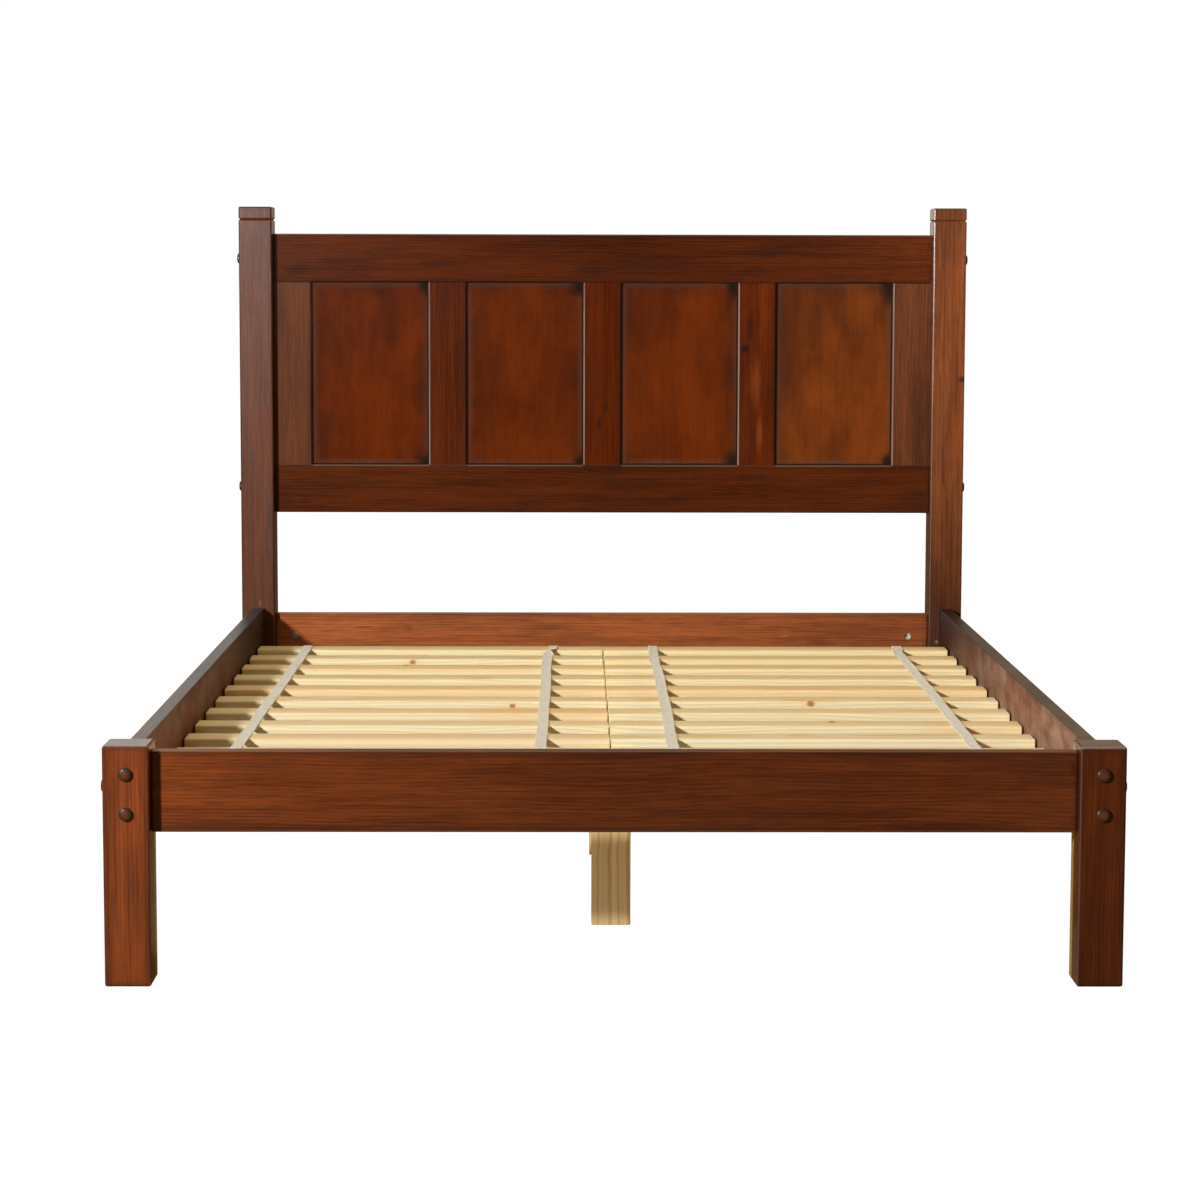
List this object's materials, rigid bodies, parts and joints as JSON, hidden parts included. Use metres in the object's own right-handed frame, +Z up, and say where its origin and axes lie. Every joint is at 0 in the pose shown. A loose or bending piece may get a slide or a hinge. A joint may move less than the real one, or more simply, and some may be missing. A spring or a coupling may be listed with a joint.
{
  "type": "platform bed",
  "caption": "Knock-down wooden platform bed with a frame-and-panel headboard, a low foot end, bolted rails and two strapped slat mats over a central beam with legs.",
  "frame": {"origin": "on the floor under the middle of the bed's bounding box", "axes": "+Z up, +Y from the foot end to the head end, +X to the right of someone who stands at the foot and looks at the headboard"},
  "size_m": [1.49, 2.032, 1.158],
  "materials": {
    "cherry_pine": "cherry-stained pine with a satin clear coat",
    "cherry_panel": "cherry-stained pine panel with a dark glaze along its edges",
    "raw_pine": "planed pine without finish",
    "laminated_pine": "glued-up pine strips without finish",
    "webbing": "woven polyester tape",
    "dark_bolt": "dark brown, semi-gloss"
  },
  "bodies": {
    "frame": {"head_post_left": "cherry_pine", "head_post_right": "cherry_pine", "foot_post_left": "cherry_pine", "foot_post_right": "cherry_pine", "side_rail_left": "cherry_pine", "side_rail_right": "cherry_pine", "foot_rail": "cherry_pine", "head_rail": "cherry_pine", "side_rail_bolt_left_upper": "dark_bolt", "side_rail_bolt_left_lower": "dark_bolt", "side_rail_bolt_right_upper": "dark_bolt", "side_rail_bolt_right_lower": "dark_bolt", "foot_rail_bolt_left": "dark_bolt", "foot_rail_bolt_right": "dark_bolt", "headboard_top_rail": "cherry_pine", "headboard_bottom_rail": "cherry_pine", "headboard_stile_left": "cherry_pine", "headboard_mullion_1": "cherry_pine", "headboard_mullion_2": "cherry_pine", "headboard_mullion_3": "cherry_pine", "headboard_stile_right": "cherry_pine", "headboard_panel_1": "cherry_panel", "headboard_panel_2": "cherry_panel", "headboard_panel_3": "cherry_panel", "headboard_panel_4": "cherry_panel", "side_ledger_left": "raw_pine", "side_ledger_right": "raw_pine", "center_beam": "raw_pine", "beam_cleat_foot": "raw_pine", "beam_cleat_head": "raw_pine", "support_leg_1": "laminated_pine", "support_leg_2": "laminated_pine", "support_leg_3": "laminated_pine"},
    "slat_mat_left": {"slat_left_01": "raw_pine", "slat_left_02": "raw_pine", "slat_left_03": "raw_pine", "slat_left_04": "raw_pine", "slat_left_05": "raw_pine", "slat_left_06": "raw_pine", "slat_left_07": "raw_pine", "slat_left_08": "raw_pine", "slat_left_09": "raw_pine", "slat_left_10": "raw_pine", "slat_left_11": "raw_pine", "strap_left_inner": "webbing", "strap_left_outer": "webbing"},
    "slat_mat_right": {"slat_right_01": "raw_pine", "slat_right_02": "raw_pine", "slat_right_03": "raw_pine", "slat_right_04": "raw_pine", "slat_right_05": "raw_pine", "slat_right_06": "raw_pine", "slat_right_07": "raw_pine", "slat_right_08": "raw_pine", "slat_right_09": "raw_pine", "slat_right_10": "raw_pine", "slat_right_11": "raw_pine", "strap_right_inner": "webbing", "strap_right_outer": "webbing"}
  },
  "joints": [
    {"name": "slat_mat_left_lift", "type": "slide", "parent": "frame", "child": "slat_mat_left", "axis": [0, 0, 1], "range_m": [0, 0.15]},
    {"name": "slat_mat_right_lift", "type": "slide", "parent": "frame", "child": "slat_mat_right", "axis": [0, 0, 1], "range_m": [0, 0.15]}
  ]
}
